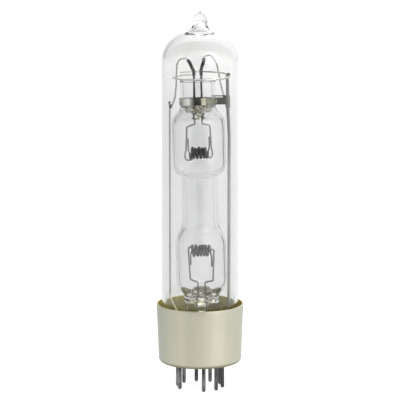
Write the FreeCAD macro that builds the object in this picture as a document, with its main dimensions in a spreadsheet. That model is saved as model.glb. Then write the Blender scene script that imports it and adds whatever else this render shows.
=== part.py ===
import FreeCAD, Part
import math
import os
import Sketcher

# A gas discharge lamp for calibrating spectrometers, modelled in millimetres.
# The lamp's axis is +Z, the origin lies on it in the plane that the base shell seats on,
# and -Y is the side that the wires are seen from.
# Levels inside the burner are measured from its middle, along its own slightly leaning axis.

Vector = FreeCAD.Vector
UP = Vector(0, 0, 1)

SIZES = (
    ("bulb_diameter", 20.0, "outside of the outer bulb"),
    ("bulb_wall", 0.8, "wall of the outer bulb"),
    ("bulb_seat", 0.65, "height of the bulb's lower edge"),
    ("dome_room", 3.4, "straight bulb above the leads' outer ends"),
    ("dome_rise", 7.5, "dome, from there to the nipple's flare"),
    ("dome_thickness", 0.5, "glass between the dome and its crown inside"),
    ("nipple_diameter", 4.0, "sealed exhaust tube on the crown"),
    ("nipple_flare", 2.2, "radius that the nipple's foot adds"),
    ("nipple_foot", 2.1, "height of the flared foot"),
    ("nipple_length", 1.0, "straight stretch of the nipple"),
    ("nipple_cap", 2.15, "height of the melted cap"),
    ("nipple_bore", 1.8, "bore left inside the nipple"),
    ("bore_flare", 1.45, "radius that the bore's foot adds"),
    ("bore_foot", 1.05, "height where the bore is straight, above the nipple's foot"),
    ("bore_taper", 0.45, "tapered end of the bore"),
    ("tip_diameter", 0.6, "drawn point on the cap"),
    ("tip_length", 0.85, "length of the drawn point"),
    ("button_floor", 1.0, "height of the pressed glass button's underside"),
    ("button_thickness", 2.6, "thickness of the pressed glass button"),
    ("pin_circle", 11.89, "circle through the pins' middles"),
    ("pin_diameter", 1.016, "outer stretch of a pin"),
    ("pin_length", 7.1, "length of a pin below the seating plane"),
    ("pin_point", 0.55, "length of a pin's tapered end"),
    ("pin_end_diameter", 0.56, "flat left on a pin's end"),
    ("pin_first_angle", 9.3, "angle of the first pin from the front, in degrees"),
    ("pin_step_angle", 36.0, "angle between pins, in degrees"),
    ("seal_diameter", 0.6, "thinner stretch of a pin, sealed in the button"),
    ("seal_stub", 1.9, "length of that stretch above the button"),
    ("rim_room", 1.075, "room between the bulb and the shell at its rim"),
    ("foot_room", 0.475, "room between the bulb and the shell at its foot"),
    ("shell_height", 15.5, "height of the base shell"),
    ("shell_wall", 0.35, "sheet of the base shell"),
    ("shell_corner", 1.0, "rounded lower edge of the base shell"),
    ("shell_opening", 16.8, "hole in the base shell's floor"),
    ("cement_depth", 3.4, "depth of the cement between shell and bulb"),
    ("burner_lean_angle", 1.1, "lean of the burner towards -X, in degrees"),
    ("tube_wall", 0.9, "wall of the discharge tube"),
    ("waist_diameter", 9.4, "narrow middle of the discharge tube"),
    ("waist_half", 6.4, "length of the narrow middle above the burner's middle"),
    ("upper_flare", 4.1, "length of the flare from the narrow middle to the upper chamber"),
    ("lower_flare", 5.4, "length of the flare from the narrow middle to the lower chamber"),
    ("chamber_length", 10.5, "straight length of the upper chamber"),
    ("shoulder_length", 4.5, "length of the shoulder from the upper chamber to its neck"),
    ("lower_shoulder", 2.8, "length of the shoulder from the lower chamber to its neck"),
    ("lower_neck_rise", 2.0, "how much nearer to the burner's middle the lower neck starts"),
    ("upper_chamber", 13.9, "outside of the upper chamber"),
    ("lower_chamber", 13.2, "outside of the lower chamber"),
    ("neck_diameter", 9.2, "outside of the end necks"),
    ("neck_length", 6.8, "length of the end necks"),
    ("shoulder_share", 0.65, "share of a shoulder that bulges"),
    ("stem_depth", 3.3, "distance from a neck to the stem's pinched tip"),
    ("stem_tip_width", 2.5, "width of the pinched tip, across both leads"),
    ("stem_tip_depth", 1.3, "depth of the pinched tip"),
    ("stem_set", 0.3, "distance from the neck's start to the stem's collar"),
    ("stem_collar", 1.2, "height of a stem's collar, sealed in the neck"),
    ("stem_wall", 0.8, "wall of a stem"),
    ("stem_hollow", 2.3, "width of the stem's hollow behind the solid tip"),
    ("stem_seal", 1.5, "solid glass at the pinched tip"),
    ("stem_flat", 2.0, "height of the flats that the pinch leaves"),
    ("lead_wire", 0.45, "wire of the leads"),
    ("lead_spacing", 1.9, "distance between a pair of leads in the stem"),
    ("lead_above", 1.3, "length of a lead outside its neck"),
    ("lead_straight", 1.3, "length from the stem's tip to the lead's first bend"),
    ("lead_drop", 0.6, "drop from the first bend to the second"),
    ("lead_spread", 0.35, "how much further out a lead stands beside the coil than above it"),
    ("lead_bow", 0.3, "how far a lead bows out beside the coil"),
    ("lead_bow_rise", 0.8, "height above the coil's middle where the bow starts"),
    ("lead_hook", 1.5, "how far an upper lead's hooked end passes the coil's middle"),
    ("lead_pass", 0.6, "how far a lower lead's end passes the coil's middle"),
    ("lead_hook_out", 0.6, "how far the hook stands in front of the coil"),
    ("lead_hook_back", 0.3, "how far the hook runs back under the coil"),
    ("lead_hook_rise", 0.45, "height of the hook's turned-up end"),
    ("coil_wire", 0.5, "wire of an electrode's tails"),
    ("coil_coating", 0.1, "coating on an electrode's turns"),
    ("coil_diameter", 2.45, "mean diameter of an electrode"),
    ("coil_pitch", 0.85, "pitch of an electrode"),
    ("coil_turns", 5.5, "turns of an electrode"),
    ("coil_tail", 4.0, "length of an electrode's straight tails"),
    ("upper_coil_place", 2.8, "distance of the upper electrode from its chamber's start"),
    ("lower_coil_place", 2.0, "distance of the lower electrode from its chamber's start"),
    ("weld_gap", 0.05, "gap between two wires welded side by side"),
    ("splice_wire", 0.7, "thickened splices above the leads"),
    ("left_splice_rise", 3.95, "rise of the left splice"),
    ("left_splice_reach", 1.5, "sideways reach of the left splice"),
    ("right_splice_rise", 4.35, "rise of the right splice"),
    ("right_splice_reach", 0.81, "sideways reach of the right splice"),
    ("jumper_wire", 0.4, "wire of the jumpers"),
    ("jumper_start", 0.45, "straight start of a jumper"),
    ("support_wire", 0.45, "left support wire"),
    ("support_room", 0.675, "room between the upper chamber and the left support wire"),
    ("support_rise", 1.1, "top of the left support wire above the neck's start"),
    ("support_kick", 0.15, "outward kick of the wire's top"),
    ("support_weld_drop", 1.3, "distance from the wire's top down to the jumper's weld"),
    ("support_stand", 7.3, "straight foot of the wire on its pin"),
    ("support_offset_height", 4.2, "height of the wire's slanting stretch"),
    ("rod_diameter", 0.85, "right support rod"),
    ("rod_room", 0.2, "room between the upper chamber and the rod"),
    ("rod_shift", 0.125, "how much further from the burner's axis the rod's top stands"),
    ("rod_stand", 2.5, "straight foot of the rod on its pin"),
    ("rod_offset_height", 4.5, "height of the rod's slanting stretch"),
    ("rod_bend_below", 7.5, "distance below the neck's start where the rod bends inwards"),
    ("rod_along_below", 1.5, "distance below the neck's start where it follows the burner"),
    ("rod_above", 1.4, "length of the rod above the neck"),
    ("ring_wire", 0.4, "wire of the spacer ring"),
    ("ring_diameter", 14.6, "mean diameter of the spacer ring"),
    ("ring_above", 0.55, "height of the spacer ring's lower end above the neck"),
    ("ring_pitch", 0.85, "rise of the spacer ring in one turn"),
    ("ring_turns", 1.083, "turns of the spacer ring"),
    ("ring_start_angle", 110.0, "angle of the ring's lower end from +X, in degrees"),
    ("band_above", 0.35, "distance from the neck's start to the band's lower edge"),
    ("band_height", 1.85, "width of the clamp band's strip"),
    ("band_strip", 0.2, "thickness of the clamp band's strip"),
    ("band_slit", 0.1, "slit between the band's two leaves"),
    ("band_tilt_angle", 6.0, "tilt of the clamp band, front up, in degrees"),
    ("band_gap", 0.14, "gap between the tilted band and the neck"),
    ("sleeve_gap", 0.03, "gap between the rod and its sleeve"),
    ("sleeve_drop", 0.75, "distance of the sleeve's lower edge below the band's"),
    ("sleeve_height", 3.1, "height of the rod sleeve"),
    ("sleeve_wall", 0.2, "wall of the rod sleeve"),
    ("jumper_room", 2.9, "height from the pins' stubs to the lower leads' ends"),
    ("jumper_stand", 1.6, "height of the lower jumpers above the pins' stubs"),
)

# Levels that follow from the sizes. Those inside the burner are measured from its middle.
CHAMBER_START = "(size.waist_half + size.upper_flare)"
LOWER_WAIST_END = f"({CHAMBER_START} - size.lower_flare)"
CHAMBER_END = f"({CHAMBER_START} + size.chamber_length)"
NECK_START = f"({CHAMBER_END} + size.shoulder_length)"
NECK_END = f"({NECK_START} + size.neck_length)"
LOWER_NECK_START = f"({NECK_START} - size.lower_neck_rise)"
LOWER_CHAMBER_END = f"({LOWER_NECK_START} - size.lower_shoulder)"
STEM_TIP = f"({NECK_START} - size.stem_depth)"
LEAD_END = f"({NECK_END} + size.lead_above)"
LEAD_BEND = f"({STEM_TIP} - size.lead_straight)"
LEAD_SHOULDER = f"({LEAD_BEND} - size.lead_drop)"
BAND_LEVEL = f"({NECK_START} + size.band_above)"
SLEEVE_LEVEL = f"({BAND_LEVEL} - size.sleeve_drop)"
STUB_TOP = "(size.button_floor + size.button_thickness + size.seal_stub)"
BURNER_MIDDLE = f"({STUB_TOP} + size.jumper_room + {LEAD_END})"
DOME_LEVEL = f"({BURNER_MIDDLE} + {LEAD_END} + size.dome_room)"
SUPPORT_TOP = f"({BURNER_MIDDLE} + {NECK_START} + size.support_rise)"

# Distances from an axis that follow from the sizes.
SHELL_FOOT = "(size.bulb_diameter / 2 + size.foot_room + size.shell_wall)"
SHELL_RIM = "(size.bulb_diameter / 2 + size.rim_room + size.shell_wall)"
SUPPORT_REACH = "(size.upper_chamber / 2 + size.support_room + size.support_wire / 2)"
ROD_REACH = "(size.upper_chamber / 2 + size.rod_room + size.rod_diameter / 2)"
ROD_LINE = f"({ROD_REACH} + size.rod_shift)"

PIN_COUNT = 9
LEFT_PIN = 7
RIGHT_PIN = 2
LOWER_LEFT_PIN = 8
LOWER_RIGHT_PIN = 1

# How much of a run a bend may use, and bend radii in wire diameters.
STEEPEST_BEND = 0.45
SHARP_BEND = 1
SPLICE_BEND = 1.5
TIGHT_BEND = 2
WIDE_BEND = 3
TINY = 1e-4
SWEEP_TOLERANCE = 0.02

doc = FreeCAD.newDocument("SpectralLamp")
sheet = doc.addObject("Spreadsheet::Sheet", "size")
for row, (alias, number, note) in enumerate(SIZES, 1):
    sheet.set(f"A{row}", note)
    sheet.set(f"B{row}", str(number))
    sheet.setAlias(f"B{row}", alias)
doc.recompute()

parts = []


def value(expression):
    return float(sheet.evalExpression(expression))


def length(alias):
    return value("size." + alias)


# Drawing and turning

def origin_plane(body, role):
    for feature in body.Origin.OriginFeatures:
        if feature.Role == role:
            return feature
    raise RuntimeError("no plane " + role)


def new_body(name):
    body = doc.addObject("PartDesign::Body", name)
    body.Label = name
    parts.append(body)
    return body


def new_sketch(body, name, role, offset=None):
    sketch = body.newObject("Sketcher::SketchObject", name)
    sketch.AttachmentSupport = [(origin_plane(body, role), "")]
    sketch.MapMode = "FlatFace"
    if offset:
        sketch.setExpression("AttachmentOffset.Base.z", offset)
    return sketch


def hold_point(sketch, run, point, across, along):
    """Fix a point of the sketch at the two given expressions."""
    for kind, expression, axis in (("DistanceX", across, -2), ("DistanceY", along, -1)):
        number = value(expression)
        if abs(number) < TINY:
            sketch.addConstraint(Sketcher.Constraint("PointOnObject", run, point, axis))
        elif number > 0:
            added = sketch.addConstraint(Sketcher.Constraint(kind, -1, 1, run, point, number))
            sketch.setExpression(f"Constraints[{added}]", expression)
        else:
            added = sketch.addConstraint(Sketcher.Constraint(kind, run, point, -1, 1, -number))
            sketch.setExpression(f"Constraints[{added}]", f"-({expression})")


def tangent_arc(start, finish, heading):
    """The arc that leaves start along heading and ends at finish, and its heading there."""
    chord = finish - start
    side = Vector(-heading.y, heading.x, 0)
    if side.dot(chord) < 0:
        side = side * -1
    radius = chord.dot(chord) / (2 * side.dot(chord))
    centre = start + side * radius
    left_turn = heading.cross(side).z > 0
    first = math.atan2(start.y - centre.y, start.x - centre.x)
    last = math.atan2(finish.y - centre.y, finish.x - centre.x)
    circle = Part.Circle(centre, UP, radius)
    arm = (finish - centre) / radius
    if left_turn:
        return Part.ArcOfCircle(circle, first, last), Vector(-arm.y, arm.x, 0), True
    return Part.ArcOfCircle(circle, last, first), Vector(arm.y, -arm.x, 0), False


def draw_outline(sketch, corners):
    """Draw a closed outline. A corner marked "arc" is reached by an arc that leaves smoothly."""
    places = [Vector(value(corner[0]), value(corner[1]), 0) for corner in corners]
    count = len(corners)
    runs = []
    heading = None
    for step in range(count):
        start = places[step]
        after = (step + 1) % count
        finish = places[after]
        if "arc" in corners[after][2:]:
            arc, heading, forward = tangent_arc(start, finish, heading)
            run = sketch.addGeometry(arc)
            runs.append((run, 1, 2, True) if forward else (run, 2, 1, True))
        else:
            run = sketch.addGeometry(Part.LineSegment(start, finish))
            heading = (finish - start).normalize()
            runs.append((run, 1, 2, False))
    for step in range(count):
        before, _, before_end, _ = runs[step - 1]
        run, run_start, _, smooth = runs[step]
        kind = "Tangent" if smooth else "Coincident"
        sketch.addConstraint(Sketcher.Constraint(kind, before, before_end, run, run_start))
    for (run, run_start, _, _), corner in zip(runs, corners):
        hold_point(sketch, run, run_start, corner[0], corner[1])


def draw_circle(sketch, across, along, diameter):
    centre = Vector(value(across), value(along), 0)
    run = sketch.addGeometry(Part.Circle(centre, UP, value(diameter) / 2))
    added = sketch.addConstraint(Sketcher.Constraint("Diameter", run, value(diameter)))
    sketch.setExpression(f"Constraints[{added}]", diameter)
    hold_point(sketch, run, 3, across, along)


def turned(name, corners):
    """A body turned about its own Z axis from an outline of (radius, height) corners."""
    body = new_body(name)
    sketch = new_sketch(body, name + "_outline", "XZ_Plane")
    draw_outline(sketch, corners)
    turn = body.newObject("PartDesign::Revolution", name + "_turned")
    turn.Profile = sketch
    turn.ReferenceAxis = (sketch, ["V_Axis"])
    turn.Angle = 360
    doc.recompute()
    return body


def pad(body, sketch, height, reverse=False):
    feature = body.newObject("PartDesign::Pad", sketch.Name + "_pad")
    feature.Profile = sketch
    feature.Reversed = reverse
    feature.setExpression("Length", height)
    doc.recompute()
    return feature


def pocket(body, sketch, depth, reverse=False):
    """Cut a sketch into the body, and make sure that it did cut."""
    before = body.Shape.Volume
    feature = body.newObject("PartDesign::Pocket", sketch.Name + "_cut")
    feature.Profile = sketch
    feature.Reversed = reverse
    feature.setExpression("Length", depth)
    doc.recompute()
    if body.Shape.Volume > before - TINY:
        raise RuntimeError(feature.Name + " cuts nothing")
    return feature


# Places on the lamp

def burner_placement():
    tilt = FreeCAD.Rotation(Vector(0, -1, 0), length("burner_lean_angle"))
    return FreeCAD.Placement(Vector(0, 0, value(BURNER_MIDDLE)), tilt)


def leaned(point):
    """A point given in the burner's own leaning frame, in the lamp's frame."""
    return burner_placement().multVec(point)


def pin_angle(index):
    return f"(size.pin_first_angle + {index} * size.pin_step_angle)"


def pin_across(index):
    return f"size.pin_circle / 2 * sin({pin_angle(index)})"


def pin_along(index):
    return f"-size.pin_circle / 2 * cos({pin_angle(index)})"


def above_pin(index, height):
    """A point at the given height above the top of a pin's inner stub."""
    return Vector(value(pin_across(index)), value(pin_along(index)), value(STUB_TOP) + height)


# Bent wires

def rounded_path(points, bend):
    """Straight runs through the points, joined by arcs that are tangent to both runs."""
    edges = []
    last = points[0]
    for before, corner, after in zip(points, points[1:], points[2:]):
        arriving = corner - before
        leaving = after - corner
        half_turn = arriving.getAngle(leaving) / 2
        room = STEEPEST_BEND * min(arriving.Length, leaving.Length)
        setback = min(room, bend * math.tan(half_turn))
        if setback < TINY:
            continue
        start = corner - arriving.normalize() * setback
        finish = corner + leaving.normalize() * setback
        inward = (start + finish) * 0.5 - corner
        radius = setback / math.tan(half_turn)
        middle = corner + inward.normalize() * (radius / math.cos(half_turn) - radius)
        edges.append(Part.LineSegment(last, start).toShape())
        edges.append(Part.Arc(start, middle, finish).toShape())
        last = finish
    edges.append(Part.LineSegment(last, points[-1]).toShape())
    return Part.Wire(edges)


def swept(path, diameter):
    """A round wire along the path, checked against section times length."""
    first = path.OrderedEdges[0]
    start = first.valueAt(first.FirstParameter)
    heading = first.tangentAt(first.FirstParameter)
    if first.Orientation == "Reversed":
        start = first.valueAt(first.LastParameter)
        heading = first.tangentAt(first.LastParameter) * -1
    ring = Part.Wire([Part.Circle(start, heading, diameter / 2).toShape()])
    solid = path.makePipeShell([ring], True, False)
    expected = math.pi * diameter ** 2 / 4 * path.Length
    if abs(solid.Volume / expected - 1) > SWEEP_TOLERANCE:
        raise RuntimeError(f"a swept wire has {solid.Volume:.3f} of {expected:.3f} mm3")
    return solid


def wire_part(name, points, diameter, bend, placement=None):
    """A bent wire. Its bend is given in wire diameters."""
    feature = doc.addObject("Part::Feature", name)
    feature.Label = name
    feature.Shape = swept(rounded_path(points, bend * diameter), diameter)
    if placement:
        feature.Placement = placement
    parts.append(feature)
    return feature


# The outer bulb, its button and its pins

def outer_bulb():
    """One blown tube, closed by a dome with the sealed nipple of its exhaust tube."""
    radius = "size.bulb_diameter / 2"
    bore = "size.bulb_diameter / 2 - size.bulb_wall"
    foot = f"{DOME_LEVEL} + size.dome_rise"
    neck = foot + " + size.nipple_foot"
    cap = neck + " + size.nipple_length"
    tip = cap + " + size.nipple_cap"
    crown = foot + " - size.dome_thickness"
    turned("outer_bulb", (
        (bore, "size.bulb_seat"),
        (radius, "size.bulb_seat"),
        (radius, DOME_LEVEL),
        ("size.nipple_diameter / 2 + size.nipple_flare", foot, "arc"),
        ("size.nipple_diameter / 2", neck, "arc"),
        ("size.nipple_diameter / 2", cap),
        ("size.tip_diameter / 2", tip, "arc"),
        ("size.tip_diameter / 2", tip + " + size.tip_length"),
        ("0", tip + " + size.tip_length"),
        ("0", cap),
        ("size.nipple_bore / 2", cap + " - size.bore_taper"),
        ("size.nipple_bore / 2", foot + " + size.bore_foot"),
        ("size.nipple_bore / 2 + size.bore_flare", crown, "arc"),
        (bore, DOME_LEVEL, "arc"),
    ))


def button_stem():
    """The pressed glass disc that closes the bulb and holds the pins."""
    body = new_body("button_stem")
    disc = new_sketch(body, "button_disc", "XY_Plane", "size.button_floor")
    draw_circle(disc, "0", "0", "size.bulb_diameter - 2 * size.bulb_wall")
    pad(body, disc, "size.button_thickness")
    hole = new_sketch(body, "button_hole", "XY_Plane", "size.button_floor")
    draw_circle(hole, pin_across(0), pin_along(0), "size.seal_diameter")
    cut = pocket(body, hole, "size.button_thickness", reverse=True)
    holes = body.newObject("PartDesign::PolarPattern", "button_holes")
    holes.Originals = [cut]
    holes.Axis = (hole, ["N_Axis"])
    holes.Occurrences = PIN_COUNT
    holes.setExpression("Angle", f"{PIN_COUNT - 1} * size.pin_step_angle")
    body.Tip = holes
    doc.recompute()


def pin(index):
    """A round pin with a tapered end, and the thinner stretch that is sealed in the glass."""
    body = turned(f"pin_{index + 1}", (
        ("0", "-size.pin_length"),
        ("size.pin_end_diameter / 2", "-size.pin_length"),
        ("size.pin_diameter / 2", "size.pin_point - size.pin_length"),
        ("size.pin_diameter / 2", "size.button_floor"),
        ("size.seal_diameter / 2", "size.button_floor"),
        ("size.seal_diameter / 2", STUB_TOP),
        ("0", STUB_TOP),
    ))
    body.setExpression("Placement.Base.x", pin_across(index))
    body.setExpression("Placement.Base.y", pin_along(index))


# The base

def base_shell():
    """A drawn sheet cup, a little wider at its open rim, with a floor turned inwards."""
    turned("base_shell", (
        ("size.shell_opening / 2", "0"),
        (SHELL_FOOT + " - size.shell_corner", "0"),
        (SHELL_FOOT, "size.shell_corner", "arc"),
        (SHELL_RIM, "size.shell_height"),
        (SHELL_RIM + " - size.shell_wall", "size.shell_height"),
        (SHELL_FOOT + " - size.shell_wall", "size.shell_corner"),
        (SHELL_FOOT + " - size.shell_corner", "size.shell_wall", "arc"),
        ("size.shell_opening / 2", "size.shell_wall"),
    ))


def base_cement():
    """The ring of cement that holds the bulb in the shell."""
    top = "size.shell_corner + size.cement_depth"
    slope = f"({SHELL_RIM} - {SHELL_FOOT}) / (size.shell_height - size.shell_corner)"
    wall = SHELL_FOOT + " - size.shell_wall"
    turned("base_cement", (
        ("size.bulb_diameter / 2", "size.shell_corner"),
        (wall, "size.shell_corner"),
        (f"{wall} + size.cement_depth * {slope}", top),
        ("size.bulb_diameter / 2", top),
    ))


# The burner

def shoulder(wide, wide_level, narrow, narrow_level):
    """Corners of a rounded shoulder from a wide to a narrow tube, seen from the wide end."""
    share = "size.shoulder_share"
    return (
        (wide, wide_level),
        (f"{wide} + ({narrow} - ({wide})) * {share}",
         f"{wide_level} + ({narrow_level} - ({wide_level})) * {share}", "arc"),
        (narrow, narrow_level, "arc"),
    )


def backwards(corners):
    """The same corners in the other direction, with the arcs kept between the same two."""
    turned_round = [list(corner[:2]) for corner in reversed(corners)]
    for index, corner in enumerate(reversed(corners)):
        if "arc" in corner[2:] and index + 1 < len(corners):
            turned_round[index + 1].append("arc")
    return tuple(tuple(corner) for corner in turned_round)


def tube_side(inset):
    """One side of the discharge tube from its lower to its upper end, moved in by inset.

    The lower shoulder is steep, so it is moved towards the burner's middle by inset too.
    """
    neck = f"size.neck_diameter / 2 - {inset}"
    lower = f"size.lower_chamber / 2 - {inset}"
    waist = f"size.waist_diameter / 2 - {inset}"
    upper = f"size.upper_chamber / 2 - {inset}"
    lower_end = f"-({LOWER_CHAMBER_END} - {inset})"
    lower_neck_start = f"-({LOWER_NECK_START} - {inset})"
    return (
        (neck, "-" + NECK_END),
        *backwards(shoulder(lower, lower_end, neck, lower_neck_start)),
        *shoulder(lower, "-" + CHAMBER_START, waist, "-" + LOWER_WAIST_END),
        *backwards(shoulder(upper, CHAMBER_START, waist, "size.waist_half")),
        *shoulder(upper, CHAMBER_END, neck, NECK_START),
        (neck, NECK_END),
    )


def discharge_tube():
    """One blown tube: two chambers with a narrow waist between, and a neck at each end."""
    outside = tube_side("0")
    inside = backwards(tube_side("size.tube_wall"))
    body = turned("discharge_tube", (*outside, *inside))
    body.Placement = burner_placement()


def stem(name, upside_down):
    """A pinched stem: a hollow glass cone sealed in the neck, with the leads through its tip."""
    outer = "size.neck_diameter / 2 - size.tube_wall"
    tip = STEM_TIP
    rim = f"{NECK_START} + size.stem_set"
    back = rim + " + size.stem_collar"
    inner_tip = f"{tip} + size.stem_seal"
    body = turned(name, (
        ("0", tip),
        ("size.stem_tip_width / 2", tip),
        (outer, rim),
        (outer, back),
        (f"{outer} - size.stem_wall", back),
        (f"{outer} - size.stem_wall", rim),
        ("size.stem_hollow / 2", inner_tip),
        ("0", inner_tip),
    ))
    wide = "(size.stem_tip_depth / 2 + size.stem_flat)"
    for side in ("", "-"):
        flat = new_sketch(body, f"{name}_flat{side.replace('-', '_back')}", "YZ_Plane",
                          "-size.neck_diameter / 2")
        draw_outline(flat, (
            (f"{side}size.stem_tip_depth / 2", tip),
            (f"{side}{wide}", tip),
            (f"{side}{wide}", tip + " + size.stem_flat"),
        ))
        pocket(body, flat, "size.neck_diameter", reverse=True)
    holes = new_sketch(body, name + "_holes", "XY_Plane", tip)
    draw_circle(holes, "size.lead_spacing / 2", "0", "size.lead_wire")
    draw_circle(holes, "-size.lead_spacing / 2", "0", "size.lead_wire")
    pocket(body, holes, "size.stem_depth + size.stem_set", reverse=True)
    body.Placement = burner_placement().multiply(facing(upside_down))


def facing(upside_down):
    """Turns a piece of the upper half into its place in the lower half."""
    return FreeCAD.Placement(Vector(), FreeCAD.Rotation(Vector(1, 0, 0), 180 if upside_down else 0))


def coil(name, level, upside_down):
    """A coated tungsten coil across the burner, with both tails turned along the leads."""
    across = "size.coil_diameter / 2"
    reach = "size.coil_pitch * size.coil_turns"
    body = new_body(name)
    start = new_sketch(body, name + "_start", "XZ_Plane")
    draw_circle(start, across, "0", "size.coil_wire + 2 * size.coil_coating")
    winding = body.newObject("PartDesign::AdditiveHelix", name + "_winding")
    winding.Profile = start
    winding.ReferenceAxis = (start, ["V_Axis"])
    winding.Mode = "pitch-turns-angle"
    winding.setExpression("Pitch", "size.coil_pitch")
    winding.setExpression("Turns", "size.coil_turns")
    doc.recompute()
    first = new_sketch(body, name + "_first_tail", "XZ_Plane")
    draw_circle(first, across, "0", "size.coil_wire")
    pad(body, first, "size.coil_tail")
    last = new_sketch(body, name + "_last_tail", "XZ_Plane")
    draw_circle(last, "-" + across, reach, "size.coil_wire")
    pad(body, last, "size.coil_tail")
    turn = FreeCAD.Rotation(Vector(0, -1, 0), Vector(0, 0, -1), Vector(1, 0, 0), "XYZ")
    place = FreeCAD.Placement(Vector(-value(reach) / 2, 0, value(level)), turn)
    body.Placement = burner_placement().multiply(facing(upside_down)).multiply(place)


def lead(name, level, side, upside_down):
    """A lead from its outer end, through the stem and beside the coil's tail, to the coil's front."""
    middle = value("size.lead_spacing / 2")
    beside = value("size.coil_pitch * size.coil_turns / 2")
    reach = beside + value("size.coil_wire / 2 + size.coil_coating + size.weld_gap + size.lead_wire / 2")
    low_reach = reach + length("lead_spread")
    out = value("size.coil_diameter / 2")
    front = out + length("lead_hook_out")
    back = beside - length("lead_hook_back")
    coil_level = value(level)
    points = [
        Vector(middle, 0, value(LEAD_END)),
        Vector(middle, 0, value(LEAD_BEND)),
        Vector(reach, out, value(LEAD_SHOULDER)),
        Vector(low_reach, out, coil_level + length("lead_bow_rise")),
    ]
    if upside_down:
        end = coil_level - length("lead_pass")
        points += [Vector(low_reach, front, end), Vector(back, front, end)]
    else:
        under = coil_level - length("lead_hook")
        points += [
            Vector(low_reach + length("lead_bow"), front, coil_level - length("lead_bow")),
            Vector(low_reach, front, under),
            Vector(back, front, under),
            Vector(back - length("lead_hook_rise"), front, under + length("lead_hook_rise")),
        ]
    placed = [Vector(point.x * side, point.y * side, point.z) for point in points]
    wire_part(name, placed, length("lead_wire"), SHARP_BEND,
              burner_placement().multiply(facing(upside_down)))


# What carries the burner

def clamp_band():
    """A strip round the upper neck, with both ends laid together and run to the rod's sleeve."""
    bore = "size.neck_diameter + 2 * size.band_gap"
    leaves = "2 * size.band_strip + size.band_slit"
    sleeve = "size.rod_diameter / 2 + size.sleeve_gap + size.sleeve_wall"
    end = f"{ROD_LINE} - ({sleeve})"
    body = new_body("clamp_band")
    hoop = new_sketch(body, "band_hoop", "XY_Plane", BAND_LEVEL)
    draw_circle(hoop, "0", "0", bore + " + 2 * size.band_strip")
    pad(body, hoop, "size.band_height")
    tab = new_sketch(body, "band_tab", "XY_Plane", BAND_LEVEL)
    draw_outline(tab, rectangle("size.neck_diameter / 2", end, leaves))
    pad(body, tab, "size.band_height")
    neck = new_sketch(body, "band_bore", "XY_Plane", BAND_LEVEL)
    draw_circle(neck, "0", "0", bore)
    pocket(body, neck, "size.band_height", reverse=True)
    slit = new_sketch(body, "band_slit", "XY_Plane", BAND_LEVEL)
    draw_outline(slit, rectangle("size.neck_diameter / 2 - size.band_strip", end, "size.band_slit"))
    pocket(body, slit, "size.band_height", reverse=True)
    middle = value(BAND_LEVEL + " + size.band_height / 2")
    turn = FreeCAD.Rotation(Vector(-1, 0, 0), length("band_tilt_angle"))
    tilt = FreeCAD.Placement(Vector(), turn, Vector(0, 0, middle))
    body.Placement = burner_placement().multiply(tilt)


def rectangle(start, end, width):
    """Corners of a rectangle along X, from start to end, centred on the X axis."""
    return (
        (start, f"-({width}) / 2"),
        (end, f"-({width}) / 2"),
        (end, f"({width}) / 2"),
        (start, f"({width}) / 2"),
    )


def rod_sleeve():
    """The short sleeve crimped on the rod, which the clamp band is welded to."""
    bore = "size.rod_diameter / 2 + size.sleeve_gap"
    body = turned("rod_sleeve", (
        (bore, SLEEVE_LEVEL),
        (bore + " + size.sleeve_wall", SLEEVE_LEVEL),
        (bore + " + size.sleeve_wall", SLEEVE_LEVEL + " + size.sleeve_height"),
        (bore, SLEEVE_LEVEL + " + size.sleeve_height"),
    ))
    aside = FreeCAD.Placement(Vector(value(ROD_LINE), 0, 0), FreeCAD.Rotation())
    body.Placement = burner_placement().multiply(aside)


def right_support_rod():
    reach = value(ROD_REACH)
    line = value(ROD_LINE)
    slanted = value(STUB_TOP + " + size.rod_stand + size.rod_offset_height")
    turn = value(f"{BURNER_MIDDLE} + {NECK_START} - size.rod_bend_below")
    points = (
        above_pin(RIGHT_PIN, 0),
        above_pin(RIGHT_PIN, length("rod_stand")),
        Vector(reach, 0, slanted),
        Vector(reach, 0, turn),
        leaned(Vector(line, 0, value(NECK_START + " - size.rod_along_below"))),
        leaned(Vector(line, 0, value(NECK_END + " + size.rod_above"))),
    )
    wire_part("right_support_rod", points, length("rod_diameter"), WIDE_BEND)


def left_support_wire():
    reach = value(SUPPORT_REACH)
    slanted = value(STUB_TOP + " + size.support_stand + size.support_offset_height")
    points = (
        above_pin(LEFT_PIN, 0),
        above_pin(LEFT_PIN, length("support_stand")),
        Vector(-reach, 0, slanted),
        Vector(-reach, 0, value(SUPPORT_TOP + " - size.support_weld_drop")),
        Vector(-reach - length("support_kick"), 0, value(SUPPORT_TOP)),
    )
    wire_part("left_support_wire", points, length("support_wire"), WIDE_BEND)


def spacer_ring():
    """An open spring ring whose ends pass each other, welded to the outside of the rod's top."""
    radius = value("size.ring_diameter / 2")
    rise = value("size.ring_pitch * size.ring_turns")
    helix = Part.makeHelix(length("ring_pitch"), rise, radius)
    rod = leaned(Vector(value(ROD_LINE), 0, value(NECK_END + " + size.ring_above")))
    outside = rod.x + value("size.rod_diameter / 2 + size.weld_gap + size.ring_wire / 2")
    low = value(f"{BURNER_MIDDLE} + {NECK_END} + size.ring_above")
    feature = doc.addObject("Part::Feature", "spacer_ring")
    feature.Label = "spacer_ring"
    feature.Shape = swept(Part.Wire(helix.Edges), length("ring_wire"))
    turn = FreeCAD.Rotation(UP, length("ring_start_angle"))
    feature.Placement = FreeCAD.Placement(Vector(outside - radius, 0, low), turn)
    parts.append(feature)


# Splices and jumpers. A route's bends are shares of its whole reach and rise.

def splice_points(side, prefix, bends):
    start = Vector(side * value("size.lead_spacing / 2"), 0, value(LEAD_END))
    reach = side * length(prefix + "_splice_reach")
    rise = length(prefix + "_splice_rise")
    return [start + Vector(reach * across, 0, rise * along) for across, along in bends]


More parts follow.
